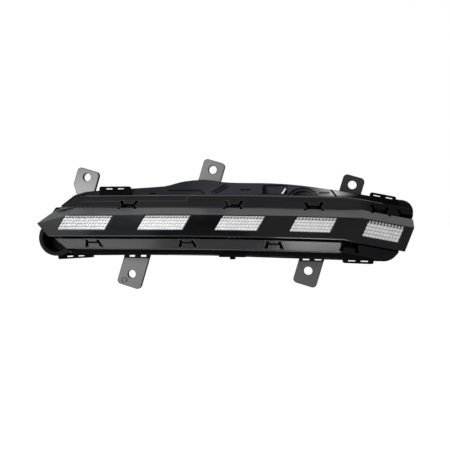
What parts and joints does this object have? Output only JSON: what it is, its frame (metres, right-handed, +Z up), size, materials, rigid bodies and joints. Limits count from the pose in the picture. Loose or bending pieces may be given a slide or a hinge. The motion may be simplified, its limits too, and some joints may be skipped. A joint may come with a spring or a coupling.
{
  "type": "daytime running light",
  "caption": "Slim daytime running light for a car bumper: gloss black bar with slanted clear windows on a black carrier frame and a tabbed rear housing.",
  "frame": {"origin": "centre of the hole in the upper middle fixing tab, at the tab's front face", "axes": "+X along the lamp to the right seen from the front, +Y to the back of the lamp, +Z up; the windows face -Y"},
  "size_m": [0.3526, 0.088, 0.126],
  "materials": {
    "housing_black": "fine-grained moulded black",
    "frame_black": "satin moulded black",
    "bezel_gloss": "polished black",
    "lens_clear": "clear polished optic",
    "reflector_silver": "bright metallised",
    "board_white": "white solder mask",
    "chip_yellow": "phosphor",
    "strip_aluminium": "mill finish",
    "screw_steel": "zinc plated",
    "seal_rubber": "soft black",
    "driver_green": "green solder mask",
    "coil_dark": "dark ferrite",
    "can_aluminium": "bright can",
    "socket_black": "moulded black",
    "pin_brass": "tinned contact",
    "cap_rubber": "soft black"
  },
  "bodies": {
    "root": {"rear_housing": "housing_black", "front_frame": "frame_black", "bar_bezel": "bezel_gloss", "lens_strip": "lens_clear", "heat_strip": "strip_aluminium", "housing_seal": "seal_rubber", "driver_board": "driver_green", "driver_coil": "coil_dark", "driver_capacitors": "can_aluminium", "driver_screws": "screw_steel", "connector_socket": "socket_black", "connector_seal": "seal_rubber", "connector_pins": "pin_brass", "vent_cap": "cap_rubber", "strip_screws": "screw_steel", "led_chips": "chip_yellow", "board_rivets": "screw_steel", "reflector_1": "reflector_silver", "led_board_1": "board_white", "reflector_2": "reflector_silver", "led_board_2": "board_white", "reflector_3": "reflector_silver", "led_board_3": "board_white", "reflector_4": "reflector_silver", "led_board_4": "board_white", "reflector_5": "reflector_silver", "led_board_5": "board_white"}
  },
  "joints": []
}
